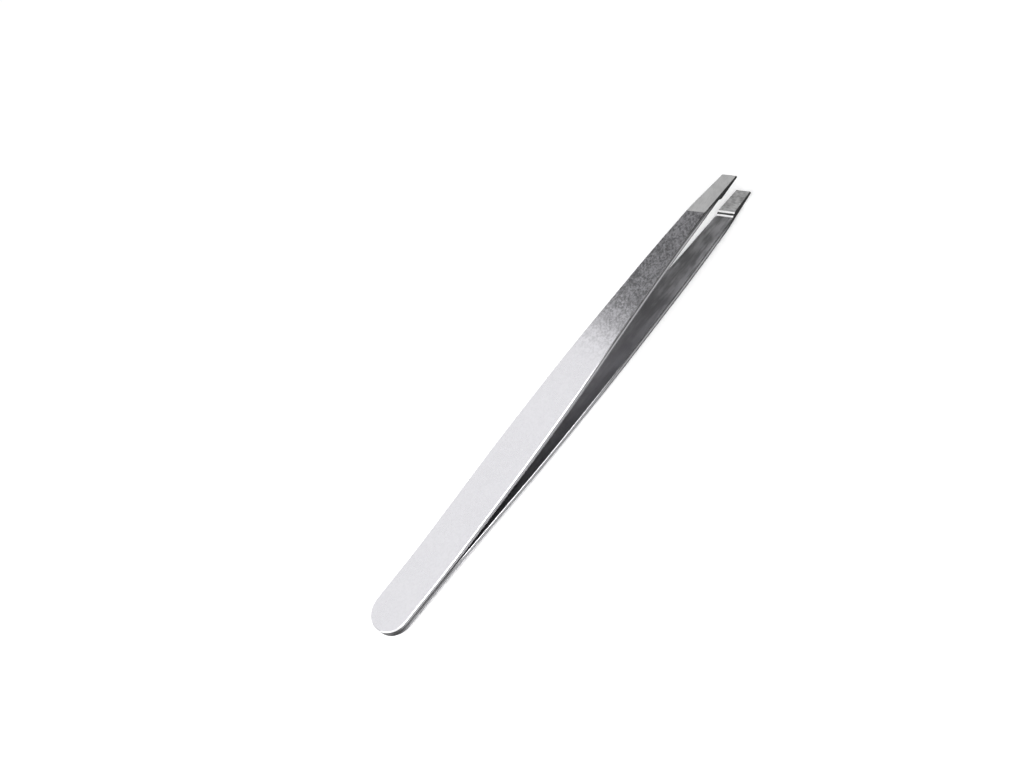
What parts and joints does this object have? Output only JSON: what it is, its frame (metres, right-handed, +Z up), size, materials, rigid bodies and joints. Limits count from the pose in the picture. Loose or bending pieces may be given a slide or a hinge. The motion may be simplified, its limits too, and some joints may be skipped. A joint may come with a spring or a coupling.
{
  "type": "slant tweezers",
  "caption": "Slim spring steel tweezers: mirrored blades spot-welded at a round tail, tapering to bevelled, slanted tips that close when the arms are squeezed.",
  "frame": {"origin": "on the surface the tool lies on, under the middle of its bounding box", "axes": "+X from the tail to the tips, +Z up, the way the upper blade stands off the lower one, and +Y across the blades, away from the tips' leading corner"},
  "size_m": [0.095, 0.008, 0.0082],
  "materials": {
    "blade_steel": "fine blasted satin outside, smooth and finely streaked inside",
    "weld_steel": "dull melted metal, hidden between the tails"
  },
  "bodies": {
    "tail": {"upper_blade_tail": "blade_steel", "lower_blade_tail": "blade_steel", "rear_weld": "weld_steel", "front_weld": "weld_steel"},
    "upper_arm": {"upper_blade_arm": "blade_steel"},
    "lower_arm": {"lower_blade_arm": "blade_steel"}
  },
  "joints": [
    {"name": "squeeze", "type": "hinge", "parent": "tail", "child": "upper_arm", "pos_m": [-0.01857, 0, 0.00319], "axis": [0, 1, 0], "range_deg": [0, 2.21], "stiffness_Nm_per_rad": 2.4},
    {"name": "squeeze_lower", "type": "hinge", "parent": "tail", "child": "lower_arm", "pos_m": [-0.01848, 0, 0.00086], "axis": [0, -1, 0], "range_deg": [0, 2.21], "stiffness_Nm_per_rad": 2.4}
  ],
  "couplings": [
    {"joint": "squeeze_lower", "follows": "squeeze", "ratio": 1}
  ]
}
